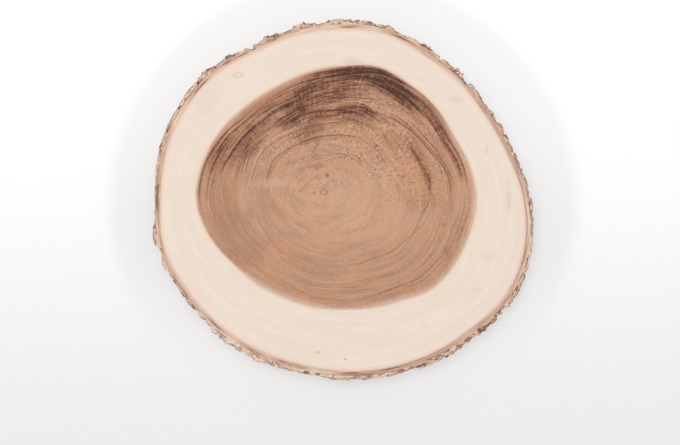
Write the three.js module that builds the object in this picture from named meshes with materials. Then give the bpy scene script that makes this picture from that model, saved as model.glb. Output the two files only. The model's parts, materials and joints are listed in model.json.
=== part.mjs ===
// A round slice of a tree trunk, sawn across the grain on both faces, with its bark on
// Millimetres, +Z along the trunk. The lower sawn face lies on z = 0, the middle of the box at x = y = 0.

import * as THREE from 'three';

// Whole slice
const ACROSS = 360; // widest way over the bark, along X
const THICKNESS = 25; // from one sawn face to the other

// Distance from the middle of the slice to the cambium, where wood meets bark.
// One value for each 15 degrees, from +X towards +Y.
const WOOD_RADII = [
  170.8, 161.6, 156.5, 156.3, 156.7, 161.7, 161.5, 161.7, 162.4, 168.4, 171.8, 172.7,
  172.2, 174.8, 170, 166.5, 163.1, 161.1, 162, 164.5, 167.8, 171.9, 178.6, 177.4,
];

// Usual depth of the bark from the cambium out, thickest along the -Y side.
// One value for each 15 degrees, from +X towards +Y.
const BARK_DEPTHS = [
  6.8, 6.8, 6.6, 6.9, 7.6, 7.5, 8.4, 7.6, 6.3, 7.7, 7.5, 7.2,
  6, 6.3, 6.8, 7.6, 8.5, 7.9, 8.5, 8.2, 8.6, 9.5, 8.2, 7.4,
];

// How far the bark's relief reaches from its furrows to its furthest scales, and the share of it in a stretch.
// The bark is rough in some and worn smooth in others. One share for each 15 degrees, from +X towards +Y.
const FURROW_DEPTH = 5.5;
const USUAL_RELIEF = 0.64; // relief, 0 to 1, where the bark has its usual depth
const ROUGHNESS = [
  0.6, 0.6, 0.75, 0.9, 0.85, 0.7, 0.7, 0.85, 0.9, 0.8, 0.5, 0.45,
  0.5, 0.8, 0.75, 1, 0.75, 0.6, 0.5, 0.7, 0.75, 0.9, 0.8, 0.6,
];

// Single flakes that stand out by the upper face, and gaps where one has gone.
// Each has its degrees from +X towards +Y, its half width in degrees and how far it stands.
const FLAKES_AND_GAPS = [
  [24.5, 1.8, 1.6], [36, 1.8, 0.9], [44.3, 1.6, -1.7], [47.5, 1.6, 1.8], [56, 1.8, -1.2], [61.5, 1.5, 1.8],
  [70, 2.4, -1.1], [76, 1.8, 1.1], [96.5, 1.8, -1.3], [104, 2.2, 1.7], [108.5, 2.4, -1.9], [114, 2.5, 2.1],
  [120, 2.1, -2.1], [129, 1.5, 1], [138, 2.4, 1.4], [191, 3, 1.6], [195.8, 2, -2], [200.5, 1.3, 2.1],
  [215, 1.8, 1.6], [222, 2.1, -1.8], [225.5, 1.2, 1.4], [229.5, 1.5, 1.4], [242, 1.3, 1.2], [292, 2.1, -1],
  [304.5, 1.4, 1.3], [316.5, 1.5, 2.2], [324.5, 1.8, -1.2], [334, 2.8, 1], [358.5, 2, 1.4],
];

// The bark's two sizes of scale: width round the trunk, height along it and share of the relief.
// The groove round a scale, its depth and the lift of one edge are shares of the scale.
// The last number tells their random draws apart.
const PLATES = { width: 14, height: 40, share: 0.6, groove: 0.22, depth: 1, lift: 0.6, draw: 1 };
const FLAKES = { width: 7, height: 14, share: 0.4, groove: 0.2, depth: 0.45, lift: 0.6, draw: 2 };
const SCALE_SCATTER = 0.8; // how far a scale's middle strays from an even grid
const SCALE_BEND = 0.25; // how far slow sines bend the scales' edges

// Mesh: columns round the trunk, bands up the side, and the flat rings inside each sawn face
const COLUMNS = 576;
const BANDS = 8;
const HUB = { corners: 12, radius: 100 };
const MIDDLE = { corners: 48, radius: 138 };

const fract = (value) => value - Math.floor(value);
const clamp = (value, low, high) => Math.min(Math.max(value, low), high);

// A smooth step from 0 to 1
function ease(value) {
  const t = clamp(value, 0, 1);
  return t * t * (3 - 2 * t);
}

// A smooth closed curve (Catmull-Rom) through values that stand evenly round a full turn
function around(values, turn) {
  const place = fract(turn) * values.length;
  const first = Math.floor(place);
  const t = place - first;
  const [a, b, c, d] = [-1, 0, 1, 2].map((step) => values[(first + step + values.length) % values.length]);
  return b + 0.5 * t * (c - a + t * (2 * a - 5 * b + 4 * c - d + t * (3 * (b - c) + d - a)));
}

// The same draw between 0 and 1 each time for a cell of the grid
function draw(column, row, number) {
  return fract(Math.sin(column * 127.1 + row * 311.7 + number * 74.7) * 43758.5453);
}

// Height, 0 to 1, of a skin of scales at a place on the side, which slow sines bend first.
// Each scale is the ground nearest to its own middle. It stands at a height of its own, tilts so that one edge
// lifts, and falls to a groove where the next nearest middle is as close.
function scales({ width, height, groove: grooveWidth, depth, lift: liftShare, draw: number }, turn, z) {
  const cells = Math.round((Math.PI * ACROSS) / width);
  const level = z / height + 10;
  const x = fract(turn) * cells + SCALE_BEND * Math.sin(80 * Math.PI * turn + 2.1 * level);
  const y = level + SCALE_BEND * Math.sin(114 * Math.PI * turn + 1.3 * level);
  let nearest = { distance: Infinity };
  let second = Infinity;
  for (let column = Math.floor(x) - 1; column <= Math.floor(x) + 1; column += 1) {
    for (let row = Math.floor(y) - 1; row <= Math.floor(y) + 1; row += 1) {
      const cell = (column + cells) % cells;
      const dx = x - column - 0.5 - SCALE_SCATTER * (draw(cell, row, number) - 0.5);
      const dy = y - row - 0.5 - SCALE_SCATTER * (draw(cell, row, number + 10) - 0.5);
      const distance = Math.hypot(dx, dy);
      if (distance < nearest.distance) {
        second = nearest.distance;
        nearest = { distance, cell, row, dx, dy };
      } else {
        second = Math.min(second, distance);
      }
    }
  }
  const own = draw(nearest.cell, nearest.row, number + 20);
  const lift = liftShare * (nearest.dx * Math.cos(own * 40) + nearest.dy * Math.sin(own * 40));
  const groove = 1 - depth * (1 - ease((second - nearest.distance) / grooveWidth));
  return clamp((0.35 + 0.65 * own + lift) * groove, 0, 1);
}

// How far single flakes stand out, or bark has gone, at a place near the upper face.
// Each is flat on top, ends within a third of its width and fades out downwards at a height of its own.
function stands(turn, z) {
  return FLAKES_AND_GAPS.reduce((total, [degrees, half, stand], i) => {
    const away = (Math.abs(fract(turn - degrees / 360 + 0.5) - 0.5) * 360) / half;
    const foot = 4 + 10 * draw(i, 0, 9);
    return total + stand * ease((1.3 - away) / 0.6) * ease((z - foot) / 5);
  }, 0);
}

// Distance from the slice's middle to the bark's surface.
// It is the wood, the bark's usual depth there, the relief of its scales and the single flakes.
function barkRadius(turn, z) {
  const relief = PLATES.share * scales(PLATES, turn, z) + FLAKES.share * scales(FLAKES, turn, z);
  const scaly = FURROW_DEPTH * around(ROUGHNESS, turn) * (relief - USUAL_RELIEF);
  return around(WOOD_RADII, turn) + around(BARK_DEPTHS, turn) + scaly + stands(turn, z);
}

const positions = [];
const triangles = [];

// Adds one ring of points and returns their numbers
function ring(count, z, radiusAt) {
  return Array.from({ length: count }, (_, corner) => {
    const turn = corner / count;
    const radius = radiusAt(turn);
    positions.push(radius * Math.cos(turn * 2 * Math.PI), radius * Math.sin(turn * 2 * Math.PI), z);
    return positions.length / 3 - 1;
  });
}

// Adds a triangle, turned over where the face looks down
function triangle(a, b, c, up) {
  triangles.push(...(up ? [a, b, c] : [a, c, b]));
}

// Joins a ring to a finer one outside it on a sawn face.
// Each inner corner fans out to the outer points nearest to it.
function annulus(inner, outer, up) {
  const share = outer.length / inner.length;
  inner.forEach((corner, i) => {
    for (let step = -share / 2; step < share / 2; step += 1) {
      const from = (i * share + step + outer.length) % outer.length;
      triangle(corner, outer[from], outer[(from + 1) % outer.length], up);
    }
    const next = inner[(i + 1) % inner.length];
    triangle(corner, outer[(i * share + share / 2) % outer.length], next, up);
  });
}

// Fills the hub of a sawn face: one large triangle in the middle, then smaller ones on each of its sides
function hub(corners, up) {
  const third = corners.length / 3;
  triangle(corners[0], corners[third], corners[2 * third], up);
  for (let step = third; step > 1; step /= 2) {
    for (let i = 0; i < corners.length; i += step) {
      triangle(corners[i], corners[i + step / 2], corners[(i + step) % corners.length], up);
    }
  }
}

// Covers one sawn face, from the hub to the edge of the bark
function sawnFace(z, edge, up) {
  const inside = ring(HUB.corners, z, () => HUB.radius);
  const middle = ring(MIDDLE.corners, z, () => MIDDLE.radius);
  hub(inside, up);
  annulus(inside, middle, up);
  annulus(middle, edge, up);
}

// Covers the side with bark, one band of squares on another, each cut along its diagonal
function barkSide(rows) {
  for (let band = 0; band < BANDS; band += 1) {
    rows[band].forEach((corner, i) => {
      const next = (i + 1) % COLUMNS;
      triangle(corner, rows[band][next], rows[band + 1][next], true);
      triangle(corner, rows[band + 1][next], rows[band + 1][i], true);
    });
  }
}

// Brings the outline to its measured width and its box to the origin, and leaves the thickness as it is
function centred(geometry) {
  geometry.computeBoundingBox();
  const { min, max } = geometry.boundingBox;
  const scale = ACROSS / (max.x - min.x);
  geometry.translate(-(min.x + max.x) / 2, -(min.y + max.y) / 2, 0);
  geometry.scale(scale, scale, 1);
  return geometry;
}

function woodSlice() {
  const rows = Array.from({ length: BANDS + 1 }, (_, row) => {
    const z = (THICKNESS * row) / BANDS;
    return ring(COLUMNS, z, (turn) => barkRadius(turn, z));
  });
  barkSide(rows);
  sawnFace(0, rows[0], false);
  sawnFace(THICKNESS, rows[BANDS], true);
  const geometry = new THREE.BufferGeometry();
  geometry.setAttribute('position', new THREE.Float32BufferAttribute(positions, 3));
  geometry.setIndex(triangles);
  centred(geometry).computeVertexNormals();
  const wood = new THREE.MeshStandardMaterial({ color: 0xe6d0bd, roughness: 0.75, metalness: 0 });
  const mesh = new THREE.Mesh(geometry, wood);
  mesh.name = 'wood_slice';
  return mesh;
}

const slice = new THREE.Group();
slice.add(woodSlice());

export default slice;
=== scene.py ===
"""A round slice of a tree trunk with its bark on, lying on a plain pale floor and seen from straight above.

The classes hold their sizes in millimetres, and a mesh is turned into metres as it is made.
"""

import json
import logging
import math
from collections.abc import Sequence
from dataclasses import dataclass
from enum import Enum

import bpy
import numpy as np
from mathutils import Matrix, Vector

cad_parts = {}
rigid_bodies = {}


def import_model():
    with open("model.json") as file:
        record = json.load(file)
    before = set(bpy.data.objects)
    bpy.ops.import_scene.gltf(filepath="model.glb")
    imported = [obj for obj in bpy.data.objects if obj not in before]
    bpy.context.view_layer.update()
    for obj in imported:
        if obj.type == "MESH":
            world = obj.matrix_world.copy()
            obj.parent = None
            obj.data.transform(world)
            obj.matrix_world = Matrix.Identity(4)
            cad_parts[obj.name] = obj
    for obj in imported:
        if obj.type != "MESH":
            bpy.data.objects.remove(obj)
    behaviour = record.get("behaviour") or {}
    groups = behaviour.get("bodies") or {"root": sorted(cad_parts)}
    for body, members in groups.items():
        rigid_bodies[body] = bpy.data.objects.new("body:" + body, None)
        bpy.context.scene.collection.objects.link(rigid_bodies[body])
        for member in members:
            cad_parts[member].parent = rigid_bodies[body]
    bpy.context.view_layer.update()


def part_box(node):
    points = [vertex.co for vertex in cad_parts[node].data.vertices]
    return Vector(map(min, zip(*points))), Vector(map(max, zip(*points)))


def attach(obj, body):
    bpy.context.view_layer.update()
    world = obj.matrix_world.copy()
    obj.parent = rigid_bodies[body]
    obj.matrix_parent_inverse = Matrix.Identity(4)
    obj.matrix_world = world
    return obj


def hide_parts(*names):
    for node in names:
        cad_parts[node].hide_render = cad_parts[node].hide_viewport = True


LOG = logging.getLogger("wood_slice")
MM = 0.001  # metres in a millimetre
FULL_TURN = 2 * math.pi
INSIDE = 20.0  # inset given to points of the wood, well away from the bark's edge

Array = np.ndarray
Colour = tuple[float, float, float]
Socket = bpy.types.NodeSocket


def fract(value: Array) -> Array:
    """Returns the part of each value above its floor."""
    return value - np.floor(value)


def ease(value: Array) -> Array:
    """Returns 3t^2 - 2t^3 of each value held between 0 and 1, a smooth step."""
    held = np.clip(value, 0.0, 1.0)
    return held * held * (3.0 - 2.0 * held)


def around(values: Sequence[float], turn: Array) -> Array:
    """Reads a smooth closed curve (Catmull-Rom) through values that stand evenly round a full turn.

    Args:
        values: the curve's values, the first at turn 0.
        turn: places round the curve, 1 being a full turn.

    Returns:
        The curve's value at each place.
    """
    known = np.asarray(values, float)
    place = fract(turn) * len(known)
    first = np.floor(place).astype(int)
    t = place - first
    a, b, c, d = (known[(first + step) % len(known)] for step in (-1, 0, 1, 2))
    return b + 0.5 * t * (c - a + t * (2 * a - 5 * b + 4 * c - d + t * (3 * (b - c) + d - a)))


def draw(column: Array, row: Array, number: float) -> Array:
    """Returns the same draw between 0 and 1 each time for a cell of a grid."""
    return fract(np.sin(column * 127.1 + row * 311.7 + number * 74.7) * 43758.5453)


def soft_noise(points: Array, number: float) -> Array:
    """Smooth value noise: draws at the corners of a unit lattice, eased into each other.

    Args:
        points: places in lattice units, with x, y and z along the last axis.
        number: tells one field from another.

    Returns:
        A value between 0 and 1 at each place.
    """
    base = np.floor(points)
    weight = ease(points - base)
    total = np.zeros(points.shape[:-1])
    for corner in np.ndindex(2, 2, 2):
        x, y, z = (base[..., axis] + corner[axis] for axis in range(3))
        share = np.ones_like(total)
        for axis in range(3):
            share = share * (weight[..., axis] if corner[axis] else 1.0 - weight[..., axis])
        total += share * draw(x + 57.0 * z, y - 31.0 * z, number)
    return total


@dataclass(frozen=True)
class ScaleSkin:
    """One size of scale that covers the bark, each scale a cell that stands out at a height of its own."""

    width: float
    height: float
    share: float
    number: int
    depth: float = 1.0  # how far the groove round a scale goes down, as a share of the scale
    groove: float = 0.3
    lift: float = 0.45
    scatter: float = 0.8
    bend: float = 0.25

    def heights(self, across: float, turn: Array, z: Array) -> tuple[Array, Array]:
        """Works out the skin's relief: each place belongs to the nearest of the scattered cell middles.

        The places are bent first by slow sines, so that no edge is straight. A scale stands at its own draw,
        tilts so that one edge lifts, and falls to a groove where the second nearest middle is as close as the
        first.

        Args:
            across: the slice's width, which sets how many scales stand round it.
            turn: places round the trunk, 1 being a full turn.
            z: heights along the trunk.

        Returns:
            The relief from 0 to 1, and the draw of the scale that each place belongs to.
        """
        cells = round(math.pi * across / self.width)
        level = z / self.height + 10.0
        x = fract(turn) * cells + self.bend * np.sin(40.0 * FULL_TURN * turn + 2.1 * level)
        y = level + self.bend * np.sin(57.0 * FULL_TURN * turn + 1.3 * level)
        near = np.full(x.shape, np.inf)
        second = near.copy()
        own = np.zeros(x.shape)
        away_x, away_y = own.copy(), own.copy()
        for step_x, step_y in np.ndindex(3, 3):
            column, row = np.floor(x) + step_x - 1, np.floor(y) + step_y - 1
            cell = np.mod(column, cells)
            dx = x - column - 0.5 - self.scatter * (draw(cell, row, self.number) - 0.5)
            dy = y - row - 0.5 - self.scatter * (draw(cell, row, self.number + 10) - 0.5)
            distance = np.hypot(dx, dy)
            closer = distance < near
            second = np.where(closer, near, np.minimum(second, distance))
            near = np.where(closer, distance, near)
            own = np.where(closer, draw(cell, row, self.number + 20), own)
            away_x, away_y = np.where(closer, dx, away_x), np.where(closer, dy, away_y)
        tilt = self.lift * (away_x * np.cos(own * 40.0) + away_y * np.sin(own * 40.0))
        groove = 1.0 - self.depth * (1.0 - ease((second - near) / self.groove))
        return np.clip((0.35 + 0.65 * own + tilt) * groove, 0.0, 1.0), own


@dataclass(frozen=True)
class Trunk:
    """The tree's own form: where the heartwood, the wood and the bark end, all round."""

    across: float = 360.0
    thickness: float = 25.0
    pith: tuple[float, float] = (-18.2, 7.2)
    heartwood_radii: tuple[float, ...] = (
        125.8, 123.5, 120.5, 123.5, 125.7, 129.3, 125.7, 124.1, 122.9, 125.8, 131.4, 136.2,
        138.2, 130.8, 120.2, 113, 107.2, 104.8, 103.5, 105.5, 109.7, 119, 121.7, 123.5,
    )
    wood_radii: tuple[float, ...] = (
        170.8, 161.6, 156.5, 156.3, 156.7, 161.7, 161.5, 161.7, 162.4, 168.4, 171.8, 172.7,
        172.2, 174.8, 170, 166.5, 163.1, 161.1, 162, 164.5, 167.8, 171.9, 178.6, 177.4,
    )
    bark_depths: tuple[float, ...] = (
        6.8, 6.8, 6.6, 6.9, 7.6, 7.5, 8.4, 7.6, 6.3, 7.7, 7.5, 7.2,
        6, 6.3, 6.8, 7.6, 8.5, 7.9, 8.5, 8.2, 8.6, 9.5, 8.2, 7.4,
    )
    furrow_depth: float = 5.5
    usual_relief: float = 0.64
    roughness: tuple[float, ...] = (
        0.6, 0.6, 0.75, 0.9, 0.85, 0.7, 0.7, 0.85, 0.9, 0.8, 0.5, 0.45,
        0.5, 0.8, 0.75, 1, 0.75, 0.6, 0.5, 0.7, 0.75, 0.9, 0.8, 0.6,
    )
    flakes_and_gaps: tuple[tuple[float, float, float], ...] = (
        (24.5, 1.8, 1.6), (36, 1.8, 0.9), (44.3, 1.6, -1.7), (47.5, 1.6, 1.8), (56, 1.8, -1.2),
        (61.5, 1.5, 1.8), (70, 2.4, -1.1), (76, 1.8, 1.1), (96.5, 1.8, -1.3), (104, 2.2, 1.7),
        (108.5, 2.4, -1.9), (114, 2.5, 2.1), (120, 2.1, -2.1), (129, 1.5, 1), (138, 2.4, 1.4), (191, 3, 1.6),
        (195.8, 2, -2), (200.5, 1.3, 2.1), (215, 1.8, 1.6), (222, 2.1, -1.8), (225.5, 1.2, 1.4),
        (229.5, 1.5, 1.4), (242, 1.3, 1.2), (292, 2.1, -1), (304.5, 1.4, 1.3), (316.5, 1.5, 2.2),
        (324.5, 1.8, -1.2), (334, 2.8, 1), (358.5, 2, 1.4),
    )
    plates: ScaleSkin = ScaleSkin(width=14, height=40, share=0.6, number=1, groove=0.22, lift=0.6)
    flakes: ScaleSkin = ScaleSkin(width=7, height=14, share=0.4, number=2, groove=0.2, depth=0.45, lift=0.6)
    crumbs: ScaleSkin = ScaleSkin(width=2.3, height=3.1, share=1.0, number=3)
    crumb_depth: float = 0.25
    fibre_depth: float = 0.35
    fibre_size: tuple[float, float] = (0.9, 5.0)

    def cambium(self, turn: Array) -> Array:
        """Returns the distance from the slice's middle to the line where wood meets bark."""
        return around(self.wood_radii, turn)

    def stands(self, turn: Array, z: Array) -> Array:
        """Works out how far single flakes stand out, or bark has gone, near the upper face.

        Each is given by its degrees, its half width in degrees and how far it stands. It is flat on top, ends
        within a third of its width, and fades out downwards at a height of its own.

        Args:
            turn: places round the trunk, 1 being a full turn.
            z: heights along the trunk.

        Returns:
            How far the bark stands out, below 0 in a gap.
        """
        total = np.zeros(np.broadcast(turn, z).shape)
        for index, (degrees, half, stand) in enumerate(self.flakes_and_gaps):
            away = np.abs(fract(turn - degrees / 360 + 0.5) - 0.5) * 360 / half
            foot = 4 + 10 * draw(index, 0, 9)
            total = total + stand * ease((1.3 - away) / 0.6) * ease((z - foot) / 5)
        return total

    def bark(self, turn: Array, z: Array) -> tuple[Array, Array]:
        """Works out the bark's surface: its usual depth, scales, single flakes, crumbs and fibres.

        Args:
            turn: places round the trunk, 1 being a full turn.
            z: heights along the trunk.

        Returns:
            The distance from the slice's middle, and three values of the scales there along a last axis: the
            plate's draw, the flake's draw and the relief from 0 in a furrow to 1 on the furthest flake.
        """
        plate, plate_draw = self.plates.heights(self.across, turn, z)
        flake, flake_draw = self.flakes.heights(self.across, turn, z)
        crumb, _ = self.crumbs.heights(self.across, turn, z)
        relief = self.plates.share * plate + self.flakes.share * flake
        circle = self.across / 2 / self.fibre_size[0]
        angle = turn * FULL_TURN
        fibre_places = np.stack(
            [circle * np.cos(angle), circle * np.sin(angle), z / self.fibre_size[1]], axis=-1
        )
        fine = self.crumb_depth * (1 - crumb) + self.fibre_depth * soft_noise(fibre_places, 5)
        rough = around(self.roughness, turn)
        depth = around(self.bark_depths, turn) + self.furrow_depth * rough * (relief - self.usual_relief)
        radius = around(self.wood_radii, turn) + depth + self.stands(turn, z) - fine * (0.5 + 0.5 * rough)
        return radius, np.stack([plate_draw, flake_draw, relief], axis=-1)

    def heartwood_share(self, outline: Array) -> Array:
        """Tells what share of the way from the pith to each point of an outline lies in the heartwood.

        The heartwood's border is read as a distance from the pith by direction.

        Args:
            outline: the points, a row each.

        Returns:
            The share for each point.
        """
        turns = np.arange(720) / 720
        radius = around(self.heartwood_radii, turns)
        pith = np.array(self.pith)
        angle = turns * FULL_TURN
        border = np.stack([radius * np.cos(angle), radius * np.sin(angle)], axis=-1) - pith
        bearing = np.arctan2(border[:, 1], border[:, 0])
        order = np.argsort(bearing)
        away = outline[:, :2] - pith
        direction = np.arctan2(away[:, 1], away[:, 0])
        reach = np.interp(direction, bearing[order], np.hypot(*border.T)[order], period=FULL_TURN)
        return reach / np.hypot(*away.T)


class Face(Enum):
    """The parts of the slice's surface, each with a place of its own on the texture map."""

    UPPER = 0
    LOWER = 1
    SIDE = 2


class Slot(Enum):
    """The slice's material slots."""

    WOOD = 0
    RIM = 1
    BARK = 2


@dataclass
class TextureMap:
    """Lays the slice out flat: both sawn faces seen straight on, and the side in strips one above another."""

    upper_width: float = 0.64
    lower_width: float = 0.345
    gap: float = 0.004
    strips: int = 4

    def sawn(self, x: Array, y: Array, across: float, face: Face) -> Array:
        """Places points of a sawn face on its part of the map.

        Args:
            x: how far to the right of the slice's middle they lie.
            y: how far behind it.
            across: the slice's width.
            face: the sawn face.

        Returns:
            The points' places on the map.
        """
        width = self.upper_width if face is Face.UPPER else self.lower_width
        left = self.gap if face is Face.UPPER else 1.0 - self.gap - width
        scale = width / across
        return np.stack([left + width / 2 + x * scale, self.gap + width * 0.475 + y * scale], axis=-1)

    def side(self, column: Array, along: Array, columns: int, corner: Array) -> Array:
        """Places corners of the side's squares on their strip.

        Args:
            column: the square's column.
            along: the corner's place down the side, 0 at the upper edge and 1 at the lower one.
            columns: columns round the whole bark.
            corner: 0 for a corner on the square's left, 1 on its right.

        Returns:
            The corners' places on the map.
        """
        per_strip = columns // self.strips
        strip = column // per_strip
        base = self.upper_width * 0.95 + 2 * self.gap
        pitch = (1.0 - base) / self.strips
        u = (column - strip * per_strip + corner) / per_strip * (1 - 2 * self.gap) + self.gap
        v = base + (strip + 1 - along) * pitch - self.gap * (1 - along)
        return np.stack([u, v], axis=-1)


@dataclass
class WoodSlice:
    """The whole slice as one closed surface, from the upper pith, over the bark, to the lower one."""

    trunk: Trunk
    texture_map: TextureMap
    columns: int = 1440  # round the bark
    rim_rows: int = 12  # across the bark's cut edge
    side_rows: int = 28  # down the side
    step: int = 4  # bark columns to one of the wood, and wood columns to one near the pith
    outer_growth: tuple[float, ...] = (
        1.93, 1.8, 1.65, 1.5, 1.35, 1.2, 1.1, 1.0, 0.9, 0.8, 0.7, 0.6, 0.5, 0.4, 0.3
    )
    inner_growth: tuple[float, ...] = (0.22, 0.15, 0.09, 0.04)
    shrinkage: float = 0.25  # bark dries back from the sawn face
    chip_depth: float = 1.6  # deepest chip out of the cut edge
    chip_size: float = 4.5

    def __post_init__(self) -> None:
        """Starts the lists that the rings of points and the faces between them are gathered in."""
        self.points: list[Array] = []
        self.strata: list[Array] = []
        self.scales: list[Array] = []
        self.insets: list[Array] = []
        self.faces: list[Array] = []
        self.spots: list[Array] = []
        self.slots: list[Array] = []
        self.count = 0

    def add_points(self, points: Array, strata: Array, scales: Array, inset: Array) -> Array:
        """Adds points with their values.

        Args:
            points: their x, y and z along the last axis.
            strata: their growth, depth from the cambium and slope.
            scales: the values of the bark's scales there.
            inset: how far inside the bark's edge they lie.

        Returns:
            The points' numbers, arranged as the points are.
        """
        numbers = self.count + np.arange(points[..., 0].size).reshape(points.shape[:-1])
        self.count += numbers.size
        self.points.append(points.reshape(-1, 3))
        self.strata.append(strata.reshape(-1, 3))
        self.scales.append(scales.reshape(-1, 3))
        self.insets.append(inset.ravel())
        return numbers

    def add_faces(self, corners: Array, face: Face, slot: Slot, spots: Array | None = None) -> None:
        """Adds faces of one corner count.

        Args:
            corners: the numbers of their points, a face a row.
            face: the part of the surface that they belong to.
            slot: their material slot.
            spots: their corners' places on the map, or None to read them off the sawn face.
        """
        if spots is None:
            x, y = np.concatenate(self.points)[corners, :2].T
            spots = self.texture_map.sawn(x.T, y.T, self.trunk.across, face)
        self.faces.append(corners)
        self.spots.append(spots)
        self.slots.append(np.full(len(corners), slot.value))

    def add_bands(self, rings: Array, face: Face, slot: Slot) -> None:
        """Fills the squares between neighbouring rings of one point count.

        Args:
            rings: the points' numbers, a ring a row, so that the outside is on the right of the way from the
                first ring to the last, going round towards larger turns.
            face: the part of the surface that they belong to.
            slot: their material slot.
        """
        following = np.roll(rings, -1, axis=1)
        square = np.stack([rings[:-1], rings[1:], following[1:], following[:-1]], axis=-1)
        spots = None
        if face is Face.SIDE:
            rows, columns = np.indices(square.shape[:2])
            along = (rows[..., None] + np.array([0, 1, 1, 0])) / len(rows)
            across = np.broadcast_to(np.array([0, 0, 1, 1]), along.shape)
            spots = self.texture_map.side(columns[..., None], along, self.columns, across).reshape(-1, 4, 2)
        self.add_faces(square.reshape(-1, 4), face, slot, spots)

    def add_step(self, inner: Array, outer: Array, face: Face) -> None:
        """Joins a ring to one outside it.

        Args:
            inner: the numbers of the inner ring's points.
            outer: those of the outer ring, a whole number of times as many.
            face: the sawn face.
        """
        share = len(outer) // len(inner)
        first = np.arange(len(inner))
        edge = (first[:, None] * share + np.arange(share + 1)) % len(outer)
        corners = np.concatenate([inner[:, None], outer[edge], np.roll(inner, -1)[:, None]], axis=1)
        self.add_faces(corners if face is Face.UPPER else corners[:, ::-1], face, Slot.WOOD)

    def cut_edge(self, turn: Array, depth: Array, face: Face) -> Array:
        """Tells how far the bark's cut edge, dried back and chipped, lies from the sawn face.

        The chips are smooth noise on a cylinder round the trunk, with depth as its height, kept above a half
        and brought in over the outer millimetres; a finer layer of the same noise adds grit.

        Args:
            turn: places round the trunk, 1 being a full turn.
            depth: how far outwards from the cambium they lie.
            face: the sawn face.

        Returns:
            The distance from the sawn face.
        """
        circle = self.trunk.across / 2 / self.chip_size
        angle = turn * FULL_TURN
        layer = depth / self.chip_size * 1.5 + 40.0 * face.value
        places = np.stack([circle * np.cos(angle), circle * np.sin(angle), layer], axis=-1)
        chips = ease((soft_noise(places, 7) - 0.5) * 3.5) * ease((depth - 2.0) / 5.0)
        grit = soft_noise(places * 4.0, 8) * ease(depth / 3.0) * 0.35
        return self.shrinkage * ease(depth / 0.8) + self.chip_depth * chips + grit

    def rim(self, face: Face) -> tuple[Array, Array, Array, Array]:
        """Works out the bark's cut edge on one sawn face.

        Args:
            face: the sawn face.

        Returns:
            Radius, height, depth from the cambium and the scales' values, a row for each ring outwards.
        """
        turn = np.arange(self.columns) / self.columns
        cambium = self.trunk.cambium(turn)
        level = self.trunk.thickness if face is Face.UPPER else 0.0
        reach, scales = self.trunk.bark(turn, np.full_like(turn, level))
        depth = np.linspace(0.0, 1.0, self.rim_rows + 1)[:, None] * (reach - cambium)
        drop = self.cut_edge(turn + 0.0 * depth, depth, face)
        height = level - drop if face is Face.UPPER else drop
        return cambium + depth, height, depth, np.broadcast_to(scales, depth.shape + (3,))

    def bark(self) -> Array:
        """Builds the bark: its upper cut edge, its side and its lower cut edge.

        Returns:
            The points' numbers, a ring a row, from the cambium of the upper face to that of the lower one.
        """
        turn = np.arange(self.columns) / self.columns
        upper, lower = self.rim(Face.UPPER), self.rim(Face.LOWER)
        share = np.linspace(0.0, 1.0, self.side_rows + 1)[1:-1, None]
        side_z = upper[1][-1] + share * (lower[1][-1] - upper[1][-1])
        side_r, side_scales = self.trunk.bark(turn + 0.0 * share, side_z)
        side = (side_r, side_z, side_r - self.trunk.cambium(turn), side_scales)
        radius, z, depth, scales = (
            np.concatenate([above, between, below[::-1]]) for above, between, below in zip(upper, side, lower)
        )
        first, last = self.rim_rows, self.rim_rows + self.side_rows
        fall = np.minimum(np.gradient(z[first : last + 1], axis=0), -0.05)
        slope = np.zeros_like(radius)
        slope[first : last + 1] = np.abs(np.gradient(radius[first : last + 1], axis=0) / fall)
        angle = turn * FULL_TURN
        points = np.stack([radius * np.cos(angle), radius * np.sin(angle), z], axis=-1)
        strata = np.stack([np.full_like(depth, 2.0), depth, ease(slope / 1.6)], axis=-1)
        inset = np.maximum(radius[first] - radius, 0.0)
        inset[last:] = np.maximum(radius[last] - radius[last:], 0.0)
        rings = self.add_points(points, strata, scales, inset)
        self.add_bands(rings[: first + 1], Face.UPPER, Slot.RIM)
        self.add_bands(rings[first : last + 1], Face.SIDE, Slot.BARK)
        self.add_bands(rings[last:], Face.LOWER, Slot.RIM)
        return rings

    def wood(self, edge: Array, face: Face) -> None:
        """Covers the wood of one sawn face, from the cambium in to the pith, with fewer columns further in.

        A point lies on the line from the pith to a point on the cambium, at the share of it where the growth
        has the ring's value.

        Args:
            edge: the numbers of the points on the cambium.
            face: the sawn face.
        """
        trunk = self.trunk
        level = trunk.thickness if face is Face.UPPER else 0.0
        pith = np.array([*trunk.pith, level])
        outline = np.concatenate(self.points)[edge]
        outer = edge
        for levels in (self.outer_growth, self.inner_growth):
            outline = outline[:: self.step]
            reach = np.hypot(*(outline - pith)[:, :2].T)
            border = trunk.heartwood_share(outline)
            rings = []
            for growth in levels:
                share = growth * border if growth < 1 else border + (growth - 1) * (1 - border)
                points = pith + share[:, None] * (outline - pith)
                points[:, 2] = level
                strata = np.stack([np.full_like(share, growth), (share - 1) * reach, 0 * share], axis=-1)
                rings.append(self.add_points(points, strata, 0 * strata, np.full_like(share, INSIDE)))
            self.add_step(rings[0], outer, face)
            block = np.array(rings)
            self.add_bands(block[::-1] if face is Face.UPPER else block, face, Slot.WOOD)
            outer = rings[-1]
        depth = np.array([[0.0, -reach.mean(), 0.0]])
        centre = self.add_points(pith[None], depth, 0 * depth, np.array([INSIDE]))
        corners = np.stack([np.full(len(outer), centre[0]), outer, np.roll(outer, -1)], axis=1)
        self.add_faces(corners if face is Face.UPPER else corners[:, ::-1], face, Slot.WOOD)

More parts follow.
